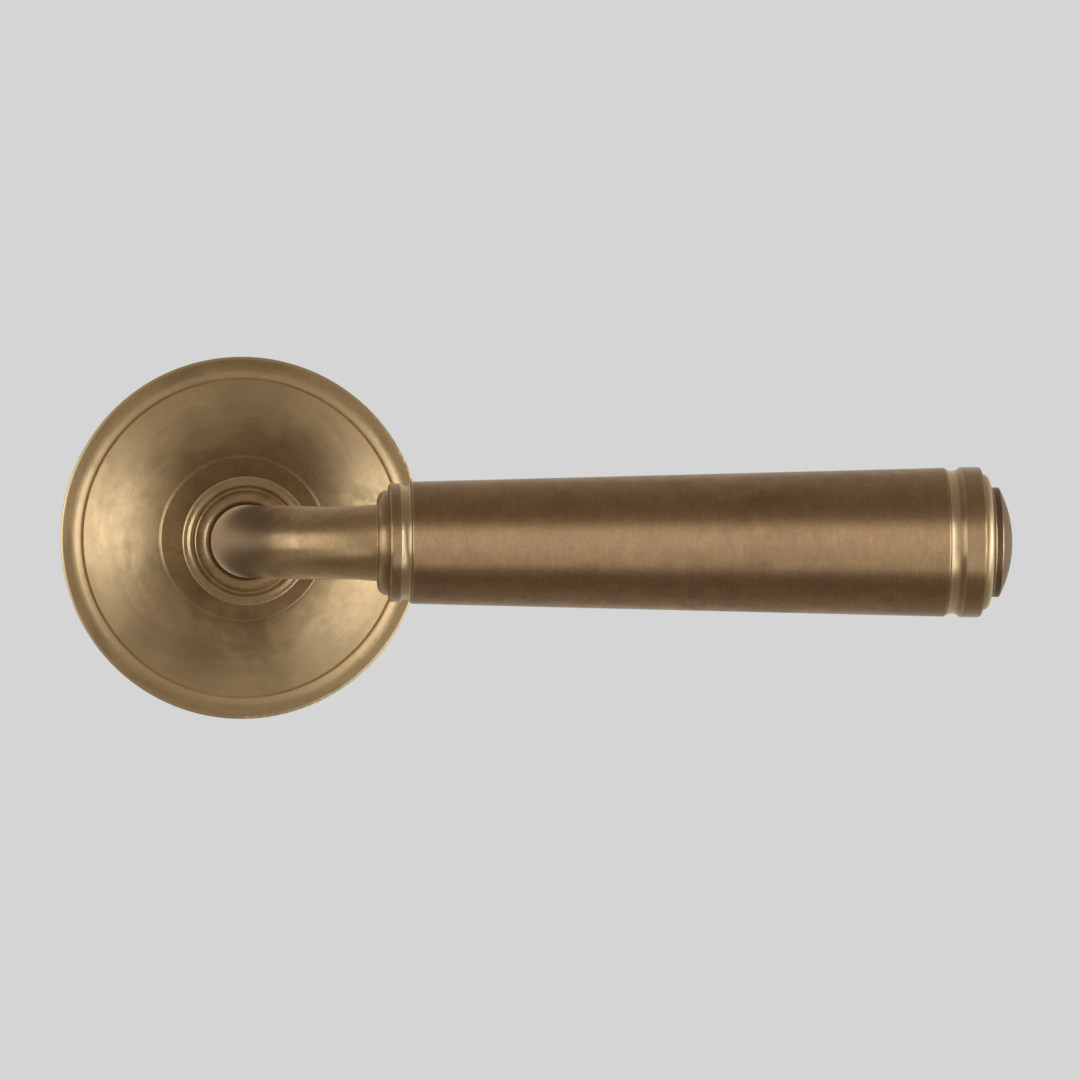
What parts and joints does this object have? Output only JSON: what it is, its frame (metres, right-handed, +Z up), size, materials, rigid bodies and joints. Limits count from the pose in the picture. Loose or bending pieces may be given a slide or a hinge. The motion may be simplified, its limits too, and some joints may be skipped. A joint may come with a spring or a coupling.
{
  "type": "door lever handle",
  "caption": "Door lever handle in aged brass: tapered barrel grip on a bent neck, domed round rose, square spindle and return spring.",
  "frame": {"origin": "on the spindle's axis, in the plane of the rose's back face, where it rests on the door", "axes": "+Y into the door, +X along the lever at rest, +Z up the door"},
  "size_m": [0.14, 0.1141, 0.055],
  "materials": {
    "rose_brass": "aged satin brass, turned, with a brown and green patina",
    "shank_brass": "aged satin brass, turned",
    "neck_brass": "aged satin brass, bent and hand finished",
    "grip_brass": "aged satin brass, turned",
    "screw_brass": "plain brass",
    "zinc_steel": "zinc-plated steel",
    "spring_steel": "oiled spring steel",
    "black_steel": "black oxide steel",
    "nylon": "natural nylon"
  },
  "bodies": {
    "rose": {"rose_cover": "rose_brass", "rose_collar": "rose_brass", "cover_snap_ring": "spring_steel", "fixing_plate": "zinc_steel", "bolt_sleeves": "zinc_steel", "wood_screws": "screw_brass", "spring_housing": "zinc_steel", "housing_rivets": "zinc_steel", "bearing_bush": "nylon", "thrust_washer": "nylon", "return_spring": "spring_steel"},
    "lever": {"lever_shank": "shank_brass", "shank_circlip": "spring_steel", "drive_hub": "zinc_steel", "spindle": "zinc_steel", "grub_screw": "black_steel", "shank_cap": "shank_brass", "lever_neck": "neck_brass", "grip_ferrule": "grip_brass", "grip_collar": "grip_brass", "grip_barrel": "grip_brass", "grip_tie_rod": "zinc_steel", "tension_washer": "spring_steel", "end_ring": "grip_brass", "end_cap": "grip_brass"}
  },
  "joints": [
    {"name": "lever_turn", "type": "hinge", "parent": "rose", "child": "lever", "pos_m": [0, 0, 0], "axis": [0, 1, 0], "range_deg": [0, 45], "stiffness_Nm_per_rad": 0.8, "springref_deg": -28.65, "deforming": ["return_spring"]}
  ]
}
